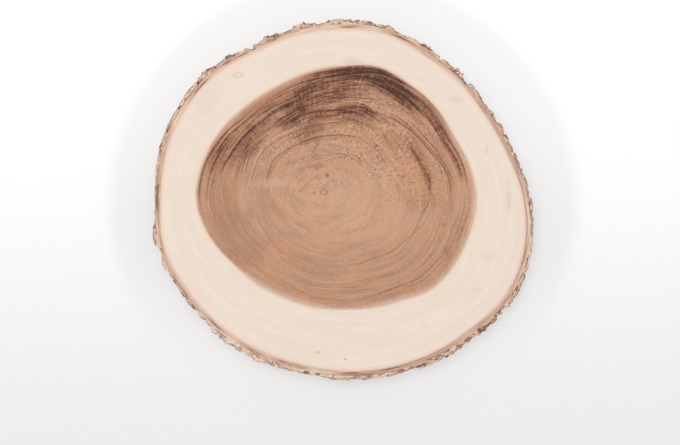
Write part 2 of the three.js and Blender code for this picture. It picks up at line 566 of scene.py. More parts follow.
    def build(self, low: Vector, high: Vector) -> bpy.types.Object:
        """Builds the slice to the box of the frame and gives it its values and its map.

        Args:
            low: the box's lowest corner, in metres.
            high: the box's highest corner, in metres.

        Returns:
            The slice's object, at the origin.
        """
        rings = self.bark()
        self.wood(rings[0], Face.UPPER)
        self.wood(rings[-1], Face.LOWER)
        points = np.concatenate(self.points)
        lowest, highest = points[:, :2].min(axis=0), points[:, :2].max(axis=0)
        floor, ceiling = np.array(low)[:2] / MM, np.array(high)[:2] / MM
        points[:, :2] = floor + (points[:, :2] - lowest) * (ceiling - floor) / (highest - lowest)
        mesh = bpy.data.meshes.new("wood_slice_body")
        faces = [face for block in self.faces for face in block.tolist()]
        mesh.from_pydata((points * MM).tolist(), [], faces)
        mesh.polygons.foreach_set("material_index", np.concatenate(self.slots).astype(np.int32))
        mesh.polygons.foreach_set("use_smooth", np.ones(len(faces), bool))
        for name, values in (("strata", self.strata), ("scales", self.scales)):
            attribute = mesh.attributes.new(name, "FLOAT_VECTOR", "POINT")
            attribute.data.foreach_set("vector", np.concatenate(values).ravel().astype(np.float32))
        inset = mesh.attributes.new("inset", "FLOAT", "POINT")
        inset.data.foreach_set("value", np.concatenate(self.insets).astype(np.float32))
        spots = np.concatenate([block.reshape(-1, 2) for block in self.spots])
        mesh.uv_layers.new(name="OFBake").data.foreach_set("uv", spots.ravel().astype(np.float32))
        mesh.set_sharp_from_angle(angle=math.radians(50))
        mesh.validate()
        body = bpy.data.objects.new("wood_slice_body", mesh)
        bpy.context.scene.collection.objects.link(body)
        return body


Value = Socket | float | Sequence[float]
Shade = tuple[int, int, int]  # a colour as it shows on a screen, 0 to 255
Knots = tuple[tuple[float, float], ...]  # a curve round the pith, as degrees and values


def shown(shade: Shade) -> Colour:
    """Turns a colour as it shows on a screen into the linear values that shaders work in.

    Args:
        shade: red, green and blue, 0 to 255.

    Returns:
        The linear red, green and blue, 0 to 1.
    """
    share = np.array(shade) / 255.0
    linear = np.where(share <= 0.04045, share / 12.92, ((share + 0.055) / 1.055) ** 2.4)
    return tuple(float(value) for value in linear)


@dataclass(frozen=True)
class Coat:
    """A thin colour that comes in as a value goes from low to high."""

    value: Socket
    low: float
    high: float
    strength: float
    shade: Shade
    mask: Socket | None = None


@dataclass
class Nodes:
    """Adds nodes to one shader tree, taking plain values and other nodes' sockets alike."""

    tree: bpy.types.NodeTree

    def add(self, kind: str, values: Sequence[Value] | dict = (), **settings: object) -> bpy.types.Node:
        """Adds one node.

        Args:
            kind: its type.
            values: what goes into its inputs, in their order, or by name or number.
            settings: its options.

        Returns:
            The node.
        """
        node = self.tree.nodes.new(kind)
        for name, setting in settings.items():
            setattr(node, name, setting)
        for key, value in values.items() if isinstance(values, dict) else enumerate(values):
            self.feed(node.inputs[key], value)
        return node

    def feed(self, socket: Socket, value: Value) -> None:
        """Links a socket to another, or sets its plain value.

        Args:
            socket: the input.
            value: the other socket or the plain value, which is a shade for a colour.
        """
        if isinstance(value, bpy.types.NodeSocket):
            self.tree.links.new(value, socket)
        else:
            socket.default_value = (*shown(value), 1.0) if socket.type == "RGBA" else value

    def maths(self, operation: str, *values: Value) -> Socket:
        """Works on numbers."""
        return self.add("ShaderNodeMath", values, operation=operation).outputs[0]

    def times(self, value: Value, factor: Value) -> Socket:
        """Multiplies two numbers."""
        return self.maths("MULTIPLY", value, factor)

    def swayed(self, value: Socket, noise: Socket, reach: float) -> Socket:
        """Shifts a value by noise, by half the reach either way at the most."""
        return self.maths("MULTIPLY_ADD", self.maths("SUBTRACT", noise, 0.5), reach, value)

    def vectors(self, operation: str, *values: Value) -> Socket:
        """Works on vectors, and gives a number where the operation does."""
        output = "Value" if operation in ("LENGTH", "DOT_PRODUCT") else "Vector"
        return self.add("ShaderNodeVectorMath", values, operation=operation).outputs[output]

    def millimetres(self) -> Socket:
        """Reads the place on the piece, in millimetres."""
        place = self.add("ShaderNodeTexCoord").outputs["Object"]
        return self.vectors("MULTIPLY", place, (1 / MM, 1 / MM, 1 / MM))

    def value(self, name: str, output: str = "Vector") -> Socket:
        """Reads one of the mesh's own values."""
        return self.add("ShaderNodeAttribute", attribute_name=name).outputs[output]

    def join(self, *parts: Value) -> Socket:
        """Makes a vector of three numbers."""
        return self.add("ShaderNodeCombineXYZ", parts).outputs[0]

    def split(self, vector: Socket) -> tuple[Socket, Socket, Socket]:
        """Gives a vector's three numbers."""
        return tuple(self.add("ShaderNodeSeparateXYZ", (vector,)).outputs)

    def span(self, value: Value, low: Value, high: Value, start: Value = 0.0, end: Value = 1.0) -> Socket:
        """Carries a value from low..high to start..end, eased at both ends and held outside them."""
        values = (value, low, high, start, end)
        return self.add("ShaderNodeMapRange", values, interpolation_type="SMOOTHSTEP").outputs["Result"]

    def blend(self, amount: Value, under: Value, over: Value) -> Socket:
        """Lays one colour over another."""
        return self.add("ShaderNodeMix", {0: amount, 6: under, 7: over}, data_type="RGBA").outputs[2]

    def coated(self, colour: Value, *coats: Coat) -> Socket:
        """Lays thin colours over one another.

        Args:
            colour: the colour underneath.
            coats: the thin colours, from the lowest up.

        Returns:
            The colour on top.
        """
        for coat in coats:
            amount = self.span(coat.value, coat.low, coat.high, 0.0, coat.strength)
            if coat.mask is not None:
                amount = self.times(amount, coat.mask)
            colour = self.blend(amount, colour, coat.shade)
        return colour

    def noise(self, place: Value, scale: float = 1.0, detail: float = 2.0, roughness: float = 0.5) -> Socket:
        """Reads cloudy noise, about 0.5 on average."""
        values = {"Vector": place, "Scale": scale, "Detail": detail, "Roughness": roughness}
        return self.add("ShaderNodeTexNoise", values).outputs[0]

    def cells(self, place: Value, scale: float, output: str, **settings: object) -> Socket:
        """Reads scattered cells."""
        return self.add("ShaderNodeTexVoronoi", {"Vector": place, "Scale": scale}, **settings).outputs[output]

    def layers(self, value: Socket, stops: Sequence[tuple[float, Shade]]) -> Socket:
        """Reads a colour between stops.

        Args:
            value: the value to read it at.
            stops: values with their colours, from the lowest to the highest.

        Returns:
            The colour.
        """
        low, high = stops[0][0], stops[-1][0]
        node = self.add("ShaderNodeValToRGB")
        elements = node.color_ramp.elements
        for index, (place, shade) in enumerate(stops):
            at = (place - low) / (high - low)
            element = elements[index] if index < 2 else elements.new(at)
            element.position = at
            element.color = (*shown(shade), 1.0)
        self.feed(node.inputs[0], self.maths("DIVIDE", self.maths("SUBTRACT", value, low), high - low))
        return node.outputs[0]

    def profile(self, turn: Socket, knots: Knots) -> Socket:
        """Reads a smooth curve round the pith.

        Args:
            turn: the place round the pith, 1 being a full turn.
            knots: the curve's points.

        Returns:
            The curve's value.
        """
        node = self.add("ShaderNodeFloatCurve")
        points = node.mapping.curves[0].points
        points[0].location = (knots[0][0] / 360, knots[0][1])
        points[1].location = (knots[-1][0] / 360, knots[-1][1])
        for degrees, value in knots[1:-1]:
            points.new(degrees / 360, value)
        for point in points:
            point.handle_type = "AUTO_CLAMPED"
        node.mapping.update()
        self.feed(node.inputs["Value"], turn)
        return node.outputs[0]

    def place(self, group: bpy.types.NodeTree, **values: Value) -> Socket:
        """Puts a node group in the tree, its inputs fed by name, and gives its first output."""
        return self.add("ShaderNodeGroup", values, node_tree=group).outputs[0]


def effect(
    name: str, inputs: dict[str, str], outputs: dict[str, str]
) -> tuple[Nodes, list[Socket], bpy.types.Node]:
    """Starts a shader effect kept as a node group.

    Args:
        name: the group's name.
        inputs: the kind of each input by its name.
        outputs: the kind of each output by its name.

    Returns:
        Its nodes, what comes in, and the node that its outputs go to.
    """
    tree = bpy.data.node_groups.new(name, "ShaderNodeTree")
    for sockets, way in ((inputs, "INPUT"), (outputs, "OUTPUT")):
        for title, kind in sockets.items():
            tree.interface.new_socket(name=title, in_out=way, socket_type=f"NodeSocket{kind}")
    nodes = Nodes(tree)
    given = nodes.add("NodeGroupInput")
    return nodes, [given.outputs[title] for title in inputs], nodes.add("NodeGroupOutput")


def ring_line_group() -> bpy.types.NodeTree:
    """Builds the mask of one growth line: near to its growth, and between two turns round the pith.

    Returns:
        The node group.
    """
    names = ("turn", "growth", "at", "width", "start", "end", "fade")
    nodes, given, out = effect("ring_line", dict.fromkeys(names, "Float"), {"mask": "Float"})
    turn, growth, at, width, start, end, fade = given
    core = nodes.span(nodes.maths("ABSOLUTE", nodes.maths("SUBTRACT", growth, at)), width, 0.0)
    begun = nodes.span(turn, nodes.maths("SUBTRACT", start, fade), nodes.maths("ADD", start, fade))
    over = nodes.span(turn, nodes.maths("SUBTRACT", end, fade), nodes.maths("ADD", end, fade), 1.0, 0.0)
    nodes.feed(out.inputs["mask"], nodes.times(core, nodes.times(begun, over)))
    return nodes.tree


def stain_group() -> bpy.types.NodeTree:
    """Builds the mask of one soft stain at a turn and growth, its size given as one over its half widths.

    Returns:
        The node group.
    """
    nodes, (polar, middle, size), out = effect(
        "stain", dict.fromkeys(("polar", "middle", "size"), "Vector"), {"mask": "Float"}
    )
    away = nodes.vectors("SUBTRACT", polar, middle)
    away = nodes.vectors("WRAP", away, (0.5, 9.0, 1.0), (-0.5, -9.0, -1.0))
    away = nodes.vectors("MULTIPLY", away, size)
    nodes.feed(out.inputs["mask"], nodes.span(nodes.vectors("DOT_PRODUCT", away, away), 1.3, 0.15))
    return nodes.tree


def spot_group() -> bpy.types.NodeTree:
    """Builds the mask of one small soft oval, its size given as one over its half widths.

    Returns:
        The node group.
    """
    nodes, (place, middle, size), out = effect(
        "spot", dict.fromkeys(("place", "middle", "size"), "Vector"), {"mask": "Float"}
    )
    away = nodes.vectors("LENGTH", nodes.vectors("MULTIPLY", nodes.vectors("SUBTRACT", place, middle), size))
    nodes.feed(out.inputs["mask"], nodes.span(away, 1.0, 0.25))
    return nodes.tree


def bast_group() -> bpy.types.NodeTree:
    """Builds the smooth inner layers either side of the cambium, paler along the top of the slice.

    Returns:
        The node group.
    """
    inputs = {"rings": "Vector", "turn": "Float", "depth": "Float"}
    nodes, (rings, turn, depth), out = effect("bast", inputs, {"colour": "Color"})
    colour = nodes.layers(nodes.swayed(depth, nodes.noise(rings), 1.2), (
        (-5.5, (240, 222, 207)), (-3.5, (239, 218, 200)), (-1.7, (239, 214, 195)), (-0.8, (235, 206, 187)),
        (-0.1, (220, 188, 166)), (0.7, (215, 181, 160)), (1.7, (212, 177, 155)), (2.2, (192, 153, 130)),
        (2.9, (209, 173, 151)), (4.6, (203, 166, 144)), (6.5, (213, 177, 154)), (9.0, (205, 168, 145)),
    ))
    pale = nodes.profile(turn, (
        (0, 0.3), (30, 0.1), (45, 0.6), (60, 0.5), (90, 1.0), (110, 0.85), (150, 0.9), (180, 0.3), (195, 0.6),
        (215, 0.7), (240, 0.35), (270, 0.0), (300, 0.0), (330, 0.45), (350, 0.2), (360, 0.3),
    ))
    fresh = nodes.times(nodes.times(pale, nodes.span(depth, 3.5, 0.5)), nodes.span(depth, -1.5, 0.5))
    nodes.feed(out.inputs["colour"], nodes.blend(fresh, colour, (229, 197, 175)))
    return nodes.tree


def bark_tone_group() -> bpy.types.NodeTree:
    """Builds weathered bark: grey-brown scales of many tones, red-brown furrows and pale broken edges.

    Returns:
        The node group.
    """
    inputs = {"place": "Vector", "scales": "Vector", "ledge": "Float"}
    nodes, (place, scales, ledge), out = effect("bark_tone", inputs, {"colour": "Color", "height": "Float"})
    plate, flake, relief = nodes.split(scales)
    cloud = nodes.noise(place, 0.12, 3.0)
    fibre = nodes.noise(nodes.vectors("MULTIPLY", place, (1.3, 1.3, 0.25)), 1.0, 3.0, 0.6)
    crumb = nodes.noise(place, 0.9, 3.0, 0.6)
    tone = nodes.maths("ADD", nodes.times(flake, 0.6), nodes.times(plate, 0.4))
    colour = nodes.coated(
        (140, 116, 101),
        Coat(cloud, 0.35, 0.65, 1.0, (168, 134, 111)),
        Coat(tone, 0.45, 0.95, 1.0, (208, 172, 146)),
        Coat(tone, 0.4, 0.1, 1.0, (112, 86, 72)),
        Coat(relief, 0.42, 0.15, 1.0, (104, 68, 52)),
        Coat(fibre, 0.52, 0.78, 0.75, (222, 188, 162)),
        Coat(fibre, 0.46, 0.25, 0.6, (92, 68, 56)),
        Coat(crumb, 0.4, 0.58, 0.85, (232, 196, 166), ledge),
        Coat(crumb, 0.37, 0.25, 0.85, (56, 42, 37)),
    )
    nodes.feed(out.inputs["colour"], colour)
    nodes.feed(out.inputs["height"], nodes.maths("ADD", nodes.times(fibre, 0.5), nodes.times(crumb, 0.5)))
    return nodes.tree


class Tint(Enum):
    """Colours of the marks in the wood."""

    BROWN = (134, 96, 77)
    ORANGE = (207, 145, 105)
    PALE = (222, 184, 156)
    OLIVE = (172, 144, 118)
    GREY = (212, 202, 195)
    FAWN = (224, 200, 182)
    TAN = (217, 169, 136)
    UMBER = (160, 118, 96)
    RUST = (176, 118, 87)
    CREAM = (241, 225, 211)


@dataclass(frozen=True)
class RingLine:
    """One growth line: its path in (degrees round the pith, growth), half width, strength and end fade."""

    path: Knots
    width: float = 0.008
    strength: float = 0.6
    fade: float = 4.0


@dataclass(frozen=True)
class Stain:
    """One soft patch in the heartwood: degrees round the pith and growth, each from and to, and strength."""

    degrees: tuple[float, float]
    growth: tuple[float, float]
    strength: float


@dataclass(frozen=True)
class Spot:
    """One small mark: its middle and half sizes in millimetres on the face, its colour and strength."""

    middle: tuple[float, float]
    size: tuple[float, float]
    tint: Tint
    strength: float


@dataclass(frozen=True)
class Groups:
    """The shader effects that the finishes place."""

    ring_line: bpy.types.NodeTree
    stain: bpy.types.NodeTree
    spot: bpy.types.NodeTree
    bast: bpy.types.NodeTree
    bark_tone: bpy.types.NodeTree


@dataclass(frozen=True)
class Surface:
    """The shader tree of a surface, the effects that it places, and where a point lies, as sockets."""

    nodes: Nodes
    groups: Groups
    place: Socket  # millimetres from the slice's middle
    unit: Socket  # direction from the pith
    polar: Socket  # the next three in one vector
    turn: Socket  # direction as a share of a full turn
    growth: Socket  # share of the way from the pith to the heartwood's border
    depth: Socket  # millimetres outwards from the cambium

    @classmethod
    def read(cls, nodes: Nodes, groups: Groups, pith: tuple[float, float]) -> "Surface":
        """Reads where a point lies.

        Direction, growth and depth are joined and split again, so that the renderer has them ready together.
        Otherwise what works on one of them alone fills its small stack, and the wood turns black.

        Args:
            nodes: the material's nodes.
            groups: the effects.
            pith: the pith's place from the slice's middle, in millimetres.

        Returns:
            The surface.
        """
        place = nodes.millimetres()
        growth, depth, _ = nodes.split(nodes.value("strata"))
        spoke = nodes.vectors("MULTIPLY", nodes.vectors("SUBTRACT", place, (*pith, 0.0)), (1.0, 1.0, 0.0))
        unit = nodes.vectors("NORMALIZE", spoke)
        along_x, along_y, _ = nodes.split(unit)
        angle = nodes.maths("ARCTAN2", along_y, along_x)
        turn = nodes.maths("FRACT", nodes.maths("DIVIDE", angle, FULL_TURN))
        polar = nodes.join(turn, growth, depth)
        return cls(nodes, groups, place, unit, polar, *nodes.split(polar))

    def rings(self, around_scale: float, out_scale: float, out: Socket | None = None) -> Socket:
        """Gives noise places that follow the rings.

        Args:
            around_scale: how quickly they change round the pith.
            out_scale: how quickly they change outwards.
            out: the way outwards, or None for the growth.

        Returns:
            The places.
        """
        wide = self.nodes.vectors("MULTIPLY", self.unit, (around_scale, around_scale, 0.0))
        outwards = self.nodes.times(self.growth if out is None else out, out_scale)
        return self.nodes.vectors("ADD", wide, self.nodes.join(0.0, 0.0, outwards))

    def noise(
        self, around_scale: float, out_scale: float, detail: float, roughness: float = 0.5,
        out: Socket | None = None,
    ) -> Socket:
        """Reads noise that follows the rings, placed as by rings()."""
        return self.nodes.noise(self.rings(around_scale, out_scale, out), 1.0, detail, roughness)

    def bast(self) -> Socket:
        """Gives the colour of the inner layers either side of the cambium."""
        rings = self.rings(14.0, 0.1, self.depth)
        return self.nodes.place(self.groups.bast, rings=rings, turn=self.turn, depth=self.depth)

    def lines(self, lines: Sequence[RingLine], breaks: Socket) -> Socket:
        """Gathers growth lines into one mask.

        Args:
            lines: the lines.
            breaks: what breaks them up along their length.

        Returns:
            The mask.
        """
        total: Value = 0.0
        for line in lines:
            mask = self.nodes.place(
                self.groups.ring_line, turn=self.turn, growth=self.growth, width=line.width,
                at=self.nodes.profile(self.turn, line.path), start=line.path[0][0] / 360,
                end=line.path[-1][0] / 360, fade=line.fade / 360,
            )
            total = self.nodes.maths("MAXIMUM", total, self.nodes.times(mask, line.strength))
        return self.nodes.times(total, breaks)

    def clouds(self, stains: Sequence[Stain]) -> Socket:
        """Adds soft stains up in one mask.

        Args:
            stains: the stains.

        Returns:
            The mask.
        """
        total: Value = 0.0
        for patch in stains:
            (start, end), (inner, outer) = patch.degrees, patch.growth
            mask = self.nodes.place(
                self.groups.stain, polar=self.polar, middle=((start + end) / 720, (inner + outer) / 2, 0.0),
                size=(720 / (end - start), 2 / (outer - inner), 0.0),
            )
            total = self.nodes.maths("MULTIPLY_ADD", mask, patch.strength, total)
        return total

    def dotted(self, spots: Sequence[Spot], colour: Socket) -> Socket:
        """Lays spots over a colour, all those of one tint at once.

        Args:
            spots: the spots.
            colour: the colour underneath.

        Returns:
            The colour on top.
        """
        for tint in dict.fromkeys(spot.tint for spot in spots):
            total: Value = 0.0
            for spot in (spot for spot in spots if spot.tint is tint):
                mask = self.nodes.place(
                    self.groups.spot, place=self.place, middle=(*spot.middle, 0.0),
                    size=(1 / spot.size[0], 1 / spot.size[1], 0.0),
                )
                total = self.nodes.maths("MAXIMUM", total, self.nodes.times(mask, spot.strength))
            colour = self.nodes.blend(total, colour, tint.value)
        return colour


@dataclass(frozen=True)
class Figure:
    """The noise in the wood, as sockets."""

    bent: Socket  # the growth, bent a little
    broad: Socket  # wide bands along the rings
    fine: Socket  # narrow bands
    hair: Socket  # the thinnest lines
    dashes: Socket  # broken lines
    rays: Socket  # short lines across the rings
    grain: Socket  # specks
    patches: Socket  # wide soft patches

    @classmethod
    def read(cls, face: Surface) -> "Figure":
        """Reads the noise of a sawn face.

        Args:
            face: the sawn face.

        Returns:
            The noise.
        """
        nodes = face.nodes
        bent = nodes.swayed(face.growth, nodes.noise(face.place, 0.025, 1.0), 0.04)
        return cls(
            bent=bent,
            broad=face.noise(1.3, 15.0, 2.0, out=bent),
            fine=face.noise(2.4, 58.0, 3.0, 0.65, bent),
            hair=face.noise(5.0, 120.0, 2.0, 0.6),
            dashes=face.noise(30.0, 85.0, 3.0, 0.65),
            rays=face.noise(85.0, 9.0, 2.0, 0.6),
            grain=nodes.noise(face.place, 0.75, 3.0, 0.7),
            patches=nodes.noise(face.place, 0.05),
        )


@dataclass(frozen=True)
class Finish:
    """A material of the slice: its name, how dull and uneven it is, and what colours it."""

    name: str
    roughness: float
    specular: float
    bump: float
    bump_distance: float  # in metres

    def dress(self, face: Surface) -> tuple[Socket, Socket]:
        """Gives the colour and the height of the grain, which each finish works out in its own way."""
        raise NotImplementedError

    def build(self, groups: Groups, pith: tuple[float, float]) -> bpy.types.Material:
        """Builds the material.

        Args:
            groups: the effects.
            pith: the pith's place from the slice's middle, in millimetres.

        Returns:
            The material.
        """
        material = bpy.data.materials.new(self.name)
        material.use_nodes = True
        nodes = Nodes(material.node_tree)
        colour, height = self.dress(Surface.read(nodes, groups, pith))
        relief = {"Strength": self.bump, "Distance": self.bump_distance, "Height": height}
        looks = {
            "Base Color": colour, "Roughness": self.roughness, "Specular IOR Level": self.specular,
            "Normal": nodes.add("ShaderNodeBump", relief).outputs[0],
        }
        for name, value in looks.items():
            nodes.feed(nodes.tree.nodes["Principled BSDF"].inputs[name], value)
        return material


@dataclass(frozen=True)
class SawnFinish(Finish):
    """The sawn faces: brown heartwood and cream sapwood, out to the cambium."""

    name: str = "sawn_wood"
    roughness: float = 0.72
    specular: float = 0.3
    bump: float = 0.35
    bump_distance: float = 0.0003
    dark_lines: tuple[RingLine, ...] = (
        RingLine(((-90, 0.024), (450, 0.024)), 0.011, 0.5),
        RingLine(((89, 0.215), (103, 0.236), (116, 0.25), (130, 0.263), (151, 0.256)), 0.01, 0.4),
        RingLine(((79, 0.289), (94, 0.291), (111, 0.304), (124, 0.317), (133, 0.316)), 0.009, 0.35),
        RingLine(((34, 0.331), (43, 0.328), (51, 0.321), (61, 0.311), (74, 0.301)), 0.008, 0.6),
        RingLine(((38, 0.352), (62, 0.33)), 0.006, 0.35),
        RingLine(((58, 0.465), (66, 0.452), (80, 0.45), (95, 0.456), (112, 0.47), (130, 0.483),
                  (142, 0.496), (150, 0.494), (159, 0.48), (168, 0.467)), 0.009, 0.85),
        RingLine(((127, 0.466), (142, 0.474), (154, 0.468), (164, 0.448)), 0.008, 0.5),
        RingLine(((21, 0.481), (33, 0.484), (46, 0.474), (60, 0.462)), 0.008, 0.5),
        RingLine(((72, 0.552), (94, 0.554), (107, 0.572), (122, 0.592), (140, 0.613), (150, 0.611),
                  (160, 0.594), (172, 0.585)), 0.01, 0.5),
        RingLine(((148, 0.693), (157, 0.672), (166, 0.65)), 0.009, 0.5),
        RingLine(((150, 0.721), (159, 0.697), (168, 0.676)), 0.009, 0.5),
        RingLine(((110, 0.808), (118, 0.817), (132, 0.822), (150, 0.825), (160, 0.827),
                  (168, 0.838)), 0.014, 0.9),
        RingLine(((127, 0.921), (136, 0.909), (145, 0.917), (152, 0.928), (160, 0.922)), 0.011, 0.75),
        RingLine(((138, 0.942), (147, 0.958), (155, 0.968), (163, 0.97)), 0.011, 0.8),
        RingLine(((157, 0.973), (166, 0.98), (183, 0.978)), 0.013, 0.95),
        RingLine(((157, 0.908), (166, 0.916), (184, 0.916)), 0.009, 0.7),
        RingLine(((166, 0.79), (184, 0.79)), 0.01, 0.3),
        RingLine(((58, 0.985), (66, 0.979), (78, 0.974), (92, 0.974), (103, 0.98)), 0.01, 0.6),
        RingLine(((30, 0.985), (38, 0.997), (47, 0.995), (56, 0.978), (65, 0.957), (76, 0.938), (88, 0.927),
                  (104, 0.941)), 0.01, 0.9),
        RingLine(((34, 0.957), (44, 0.96), (54, 0.95), (64, 0.92), (77, 0.893), (92, 0.881)), 0.01, 0.7),
        RingLine(((36, 0.9), (50, 0.902), (62, 0.87), (80, 0.84)), 0.01, 0.5),
        RingLine(((6, 0.929), (16, 0.931), (25, 0.919), (33, 0.91), (42, 0.913)), 0.012, 0.55),
        RingLine(((3, 0.95), (11, 0.959), (20, 0.956), (34, 0.945)), 0.01, 0.6),
        RingLine(((0, 0.836), (7, 0.841), (13, 0.828), (22, 0.797), (30, 0.775), (39, 0.748), (48, 0.726)),
                 0.009, 1.05),
        RingLine(((6, 0.857), (12, 0.849), (20, 0.822), (28, 0.794), (38, 0.767), (46, 0.757)), 0.008, 0.95),
        RingLine(((16, 0.843), (21, 0.841), (29, 0.815), (40, 0.79)), 0.008, 0.95),
        RingLine(((0, 0.697), (7, 0.712), (14, 0.703), (21, 0.7), (30, 0.684)), 0.013, 0.6),
        RingLine(((7, 0.693), (14, 0.697), (23, 0.696)), 0.007, 0.5),
        RingLine(((61, 0.697), (73, 0.661), (83, 0.652), (93, 0.661), (106, 0.687)), 0.01, 0.7),
        RingLine(((61, 0.672), (75, 0.622), (86, 0.611), (97, 0.628)), 0.012, 0.45),
        RingLine(((40, 0.742), (48, 0.72), (54, 0.701), (63, 0.668)), 0.01, 0.5),
        RingLine(((60, 0.773), (70, 0.746), (82, 0.751), (93, 0.787), (105, 0.825)), 0.008, 0.6),
        RingLine(((31, 0.876), (42, 0.832), (50, 0.809), (60, 0.785)), 0.008, 0.55),
        RingLine(((31, 0.855), (42, 0.812), (56, 0.775)), 0.007, 0.4),
        RingLine(((340, 0.945), (349, 0.954), (359, 0.964)), 0.014, 0.4),
        RingLine(((340, 0.915), (348, 0.923), (359, 0.927)), 0.01, 0.35),
        RingLine(((330, 0.655), (345, 0.665), (358, 0.695)), 0.014, 0.35),
        RingLine(((290, 0.64), (310, 0.615), (325, 0.63), (345, 0.7)), 0.014, 0.4, 8),
        RingLine(((262, 0.72), (285, 0.705), (305, 0.69), (325, 0.7)), 0.014, 0.13, 8),
        RingLine(((245, 0.79), (262, 0.815), (280, 0.82), (300, 0.79), (318, 0.78)), 0.016, 0.27, 8),
        RingLine(((240, 0.86), (262, 0.91), (282, 0.925), (300, 0.9), (318, 0.885),
                  (338, 0.91)), 0.014, 0.34, 6),
        RingLine(((196, 0.56), (212, 0.6), (230, 0.64), (248, 0.66)), 0.016, 0.2, 8),
        RingLine(((188, 0.7), (205, 0.72), (225, 0.74)), 0.018, 0.25, 8),
    )
    pale_lines: tuple[RingLine, ...] = (
        RingLine(((117, 0.612), (132, 0.637), (141, 0.641), (152, 0.624), (162, 0.606),
                  (176, 0.6)), 0.008, 0.8),
        RingLine(((105, 0.83), (118, 0.845), (131, 0.85), (142, 0.838), (160, 0.84)), 0.007, 0.75),
        RingLine(((128, 0.936), (140, 0.927), (150, 0.945), (158, 0.945)), 0.007, 0.7),
        RingLine(((45, 0.975), (60, 0.956), (75, 0.925), (90, 0.912)), 0.007, 0.35),
        RingLine(((34, 0.932), (46, 0.935), (60, 0.905)), 0.006, 0.25),
        RingLine(((25, 0.895), (37, 0.886), (50, 0.88)), 0.006, 0.4),
        RingLine(((196, 0.585), (212, 0.625), (230, 0.665)), 0.01, 0.5, 8),
        RingLine(((200, 0.5), (218, 0.535), (240, 0.545)), 0.009, 0.5, 8),
        RingLine(((250, 0.76), (270, 0.775), (290, 0.755)), 0.012, 0.6, 8),
        RingLine(((318, 0.84), (338, 0.865), (356, 0.885)), 0.012, 0.45, 8),
        RingLine(((342, 0.985), (352, 0.99), (359, 0.99)), 0.01, 0.3, 6),
    )
    stains: tuple[Stain, ...] = (
        Stain((46, 100), (0.895, 1.02), 0.8),
        Stain((58, 88), (0.93, 1.01), 0.4),
        Stain((42, 72), (0.83, 0.965), 0.8),
        Stain((34, 60), (0.84, 0.965), 0.45),
        Stain((20, 48), (0.91, 1.02), 0.36),
        Stain((64, 118), (0.7, 0.94), 0.48),
        Stain((84, 108), (0.88, 0.99), 0.15),
        Stain((92, 130), (0.8, 0.97), 0.36),
        Stain((98, 128), (0.66, 0.78), 0.4),
        Stain((120, 166), (0.66, 0.85), 0.4),
        Stain((88, 120), (0.4, 0.6), 0.35),
        Stain((48, 74), (0.54, 0.72), 0.32),
        Stain((42, 86), (0.87, 0.975), 0.6),
        Stain((-16, 14), (0.42, 0.8), 0.15),
        Stain((100, 118), (0.78, 0.845), 0.55),
        Stain((98, 126), (0.61, 0.75), 0.4),
        Stain((72, 108), (0.58, 0.69), 0.42),
        Stain((54, 84), (0.61, 0.71), 0.42),
        Stain((65, 81), (0.56, 0.605), 0.4),
        Stain((112, 178), (0.76, 0.96), 0.31),
        Stain((144, 172), (0.87, 0.99), 0.33),
        Stain((4, 40), (0.885, 0.98), 0.4),
        Stain((140, 174), (0.62, 0.76), 0.2),
        Stain((176, 222), (0.74, 0.99), 0.07),
        Stain((292, 352), (0.84, 0.985), 0.1),
        Stain((-2, 33), (0.67, 0.74), 0.25),
        Stain((24, 48), (0.56, 0.67), 0.22),
        Stain((50, 130), (0.48, 0.66), 0.14),
        Stain((56, 128), (0.55, 0.95), 0.2),
    )
    rusts: tuple[Stain, ...] = (
        Stain((104, 142), (0.9, 1.01), 0.9),
        Stain((78, 104), (0.66, 0.75), 0.8),
        Stain((138, 158), (0.74, 0.84), 0.7),
        Stain((150, 176), (0.93, 1.0), 0.6),
        Stain((10, 40), (0.62, 0.76), 0.8),
        Stain((52, 80), (0.94, 1.0), 0.5),
        Stain((206, 226), (0.93, 1.0), 0.6),
    )
    heart_spots: tuple[Spot, ...] = (
        Spot((34.0, -2.0), (88.0, 60.0), Tint.TAN, 0.42),
        Spot((118.0, 4.0), (22.0, 36.0), Tint.TAN, 0.35),
        Spot((-108.0, -12.0), (26.0, 48.0), Tint.UMBER, 0.4),
        Spot((-92.0, -48.0), (30.0, 24.0), Tint.UMBER, 0.3),
        Spot((-15.2, 23.1), (3.2, 3.2), Tint.BROWN, 0.8),
        Spot((-27.1, 6.5), (2.4, 3.2), Tint.BROWN, 0.4),
        Spot((-57.1, -41.6), (14.0, 10.0), Tint.ORANGE, 0.4),
        Spot((68.2, 28.1), (24.0, 18.0), Tint.ORANGE, 0.5),
        Spot((29.8, 56.3), (34.0, 16.0), Tint.ORANGE, 0.35),
        Spot((-102.5, 8.9), (7.0, 20.0), Tint.ORANGE, 0.45),
        Spot((-85.3, 56.3), (10.0, 13.0), Tint.ORANGE, 0.4),
        Spot((-66.0, 15.6), (34.0, 7.0), Tint.PALE, 0.36),
        Spot((-93.4, 0.8), (9.0, 20.0), Tint.PALE, 0.3),
        Spot((-67.2, -19.4), (13.0, 16.0), Tint.ORANGE, 0.3),
        Spot((94.4, -23.4), (5.0, 4.0), Tint.BROWN, 0.25),
        Spot((99.5, -50.7), (6.0, 9.0), Tint.BROWN, 0.18),
        Spot((-111.6, -33.5), (16.0, 12.0), Tint.OLIVE, 0.35),
        Spot((-80.3, -71.9), (15.0, 6.0), Tint.OLIVE, 0.28),
    )
